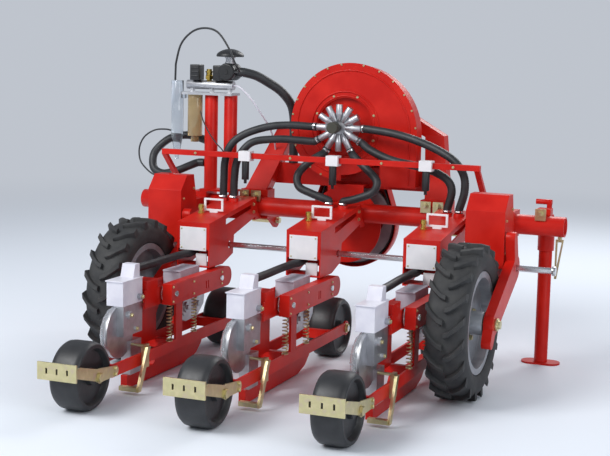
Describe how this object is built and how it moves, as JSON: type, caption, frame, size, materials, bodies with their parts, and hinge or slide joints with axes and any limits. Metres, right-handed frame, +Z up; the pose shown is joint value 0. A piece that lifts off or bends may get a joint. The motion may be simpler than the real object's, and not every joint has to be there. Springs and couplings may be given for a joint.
{
  "type": "pneumatic seed drill",
  "caption": "Tractor-mounted pneumatic precision seed drill with a red round toolbar, suction fan, lugged drive wheels and row units that press and sow between smooth wheels.",
  "frame": {"origin": "on the floor below the middle of the model's box", "axes": "+X to the right seen from behind, +Y the way of travel towards the tractor, +Z up"},
  "size_m": [2.137, 2.1189, 1.489],
  "materials": {
    "red_paint": "gloss red paint on steel",
    "zinc": "yellow passivated zinc",
    "white_plastic": "satin white plastic",
    "black_plastic": "moulded black plastic",
    "hose_rubber": "black rubber hose",
    "press_rubber": "smooth black rubber",
    "tyre_rubber": "lugged agricultural tyre",
    "grey_paint": "silver-grey paint",
    "cast_aluminium": "sand-cast aluminium",
    "hopper_plastic": "grey moulded plastic",
    "clear_plastic": "clear plastic",
    "bronze": "bronze-tinted filter bowl",
    "olive_plastic": "dark olive plastic",
    "bright_steel": "bright drawn steel"
  },
  "bodies": {
    "frame": {"toolbar": "red_paint", "headstock": "red_paint", "hitch_pins": "zinc", "toolbar_clamps": "zinc", "hose_rail": "red_paint", "rail_clips": "white_plastic", "rail_grips": "black_plastic", "fan_housing": "red_paint", "manifold": "cast_aluminium", "gauge_valve": "olive_plastic", "air_hoses": "hose_rubber", "thin_tubes": "hose_rubber", "pto_support": "red_paint", "belt_guard": "red_paint", "drive_belts": "hose_rubber", "column_posts": "red_paint", "column_plate": "cast_aluminium", "column_tube": "clear_plastic", "column_bowl": "bronze", "air_pump": "black_plastic", "pump_fittings": "zinc", "drive_guards": "red_paint", "wheel_arms": "red_paint", "stub_axles": "zinc", "stand_sleeves": "red_paint", "bar_latch": "zinc", "row_heads": "red_paint", "row_panels": "white_plastic", "row_handles": "white_plastic", "row_frames": "red_paint", "chain_cases": "red_paint", "row_shafts": "bright_steel", "seed_hoppers": "hopper_plastic", "suction_boxes": "white_plastic", "disc_covers": "clear_plastic", "metering_housings": "cast_aluminium", "opener_shoes": "red_paint", "row_tines": "zinc", "scrapers": "zinc", "press_axles": "bright_steel"},
    "wheel_left": {"rim_left": "grey_paint", "tyre_left": "tyre_rubber"},
    "wheel_right": {"rim_right": "grey_paint", "tyre_right": "tyre_rubber"},
    "drive_shaft": {"hex_shaft": "bright_steel"},
    "pto": {"pto_pulley": "grey_paint"},
    "fan_rotor": {"fan_pulley": "grey_paint"},
    "stand_left": {"stand_left": "red_paint"},
    "stand_right": {"stand_right": "red_paint"},
    "front_wheel_1": {"front_wheel_1": "press_rubber"},
    "rear_wheel_1": {"rear_wheel_1": "press_rubber"},
    "hopper_lid_1": {"hopper_lid_1": "hopper_plastic"},
    "front_wheel_2": {"front_wheel_2": "press_rubber"},
    "rear_wheel_2": {"rear_wheel_2": "press_rubber"},
    "hopper_lid_2": {"hopper_lid_2": "hopper_plastic"},
    "front_wheel_3": {"front_wheel_3": "press_rubber"},
    "rear_wheel_3": {"rear_wheel_3": "press_rubber"},
    "hopper_lid_3": {"hopper_lid_3": "hopper_plastic"}
  },
  "joints": [
    {"name": "wheel_left_spin", "type": "hinge", "parent": "frame", "child": "wheel_left", "pos_m": [-0.7405, -0.0635, 0.32], "axis": [1, 0, 0], "continuous": true},
    {"name": "wheel_right_spin", "type": "hinge", "parent": "frame", "child": "wheel_right", "pos_m": [0.7735, -0.0635, 0.32], "axis": [1, 0, 0], "continuous": true},
    {"name": "drive_shaft_spin", "type": "hinge", "parent": "frame", "child": "drive_shaft", "pos_m": [0.0775, 0.2815, 0.499], "axis": [1, 0, 0], "continuous": true},
    {"name": "pto_spin", "type": "hinge", "parent": "frame", "child": "pto", "pos_m": [-0.0235, 0.8235, 0.573], "axis": [0, 1, 0], "continuous": true},
    {"name": "fan_spin", "type": "hinge", "parent": "frame", "child": "fan_rotor", "pos_m": [-0.0235, 0.8235, 1.038], "axis": [0, 1, 0], "continuous": true},
    {"name": "front_wheel_1_spin", "type": "hinge", "parent": "frame", "child": "front_wheel_1", "pos_m": [-0.5135, 0.4205, 0.135], "axis": [1, 0, 0], "continuous": true},
    {"name": "rear_wheel_1_spin", "type": "hinge", "parent": "frame", "child": "rear_wheel_1", "pos_m": [-0.5135, -0.8905, 0.135], "axis": [1, 0, 0], "continuous": true},
    {"name": "front_wheel_2_spin", "type": "hinge", "parent": "frame", "child": "front_wheel_2", "pos_m": [0.0165, 0.4205, 0.135], "axis": [1, 0, 0], "continuous": true},
    {"name": "rear_wheel_2_spin", "type": "hinge", "parent": "frame", "child": "rear_wheel_2", "pos_m": [0.0165, -0.8905, 0.135], "axis": [1, 0, 0], "continuous": true},
    {"name": "front_wheel_3_spin", "type": "hinge", "parent": "frame", "child": "front_wheel_3", "pos_m": [0.5465, 0.4205, 0.135], "axis": [1, 0, 0], "continuous": true},
    {"name": "rear_wheel_3_spin", "type": "hinge", "parent": "frame", "child": "rear_wheel_3", "pos_m": [0.5465, -0.8905, 0.135], "axis": [1, 0, 0], "continuous": true},
    {"name": "hopper_lid_1_hinge", "type": "hinge", "parent": "frame", "child": "hopper_lid_1", "pos_m": [-0.5555, -0.046, 0.4283], "axis": [0, -1, 0], "range_deg": [0, 40]},
    {"name": "hopper_lid_2_hinge", "type": "hinge", "parent": "frame", "child": "hopper_lid_2", "pos_m": [-0.0255, -0.046, 0.4283], "axis": [0, -1, 0], "range_deg": [0, 40]},
    {"name": "hopper_lid_3_hinge", "type": "hinge", "parent": "frame", "child": "hopper_lid_3", "pos_m": [0.5045, -0.046, 0.4283], "axis": [0, -1, 0], "range_deg": [0, 40]},
    {"name": "stand_left_slide", "type": "slide", "parent": "frame", "child": "stand_left", "axis": [0, 0, 1], "range_m": [0, 0.3]},
    {"name": "stand_right_slide", "type": "slide", "parent": "frame", "child": "stand_right", "axis": [0, 0, 1], "range_m": [0, 0.3]}
  ],
  "couplings": [
    {"joint": "fan_spin", "follows": "pto_spin", "ratio": 4.3333}
  ]
}
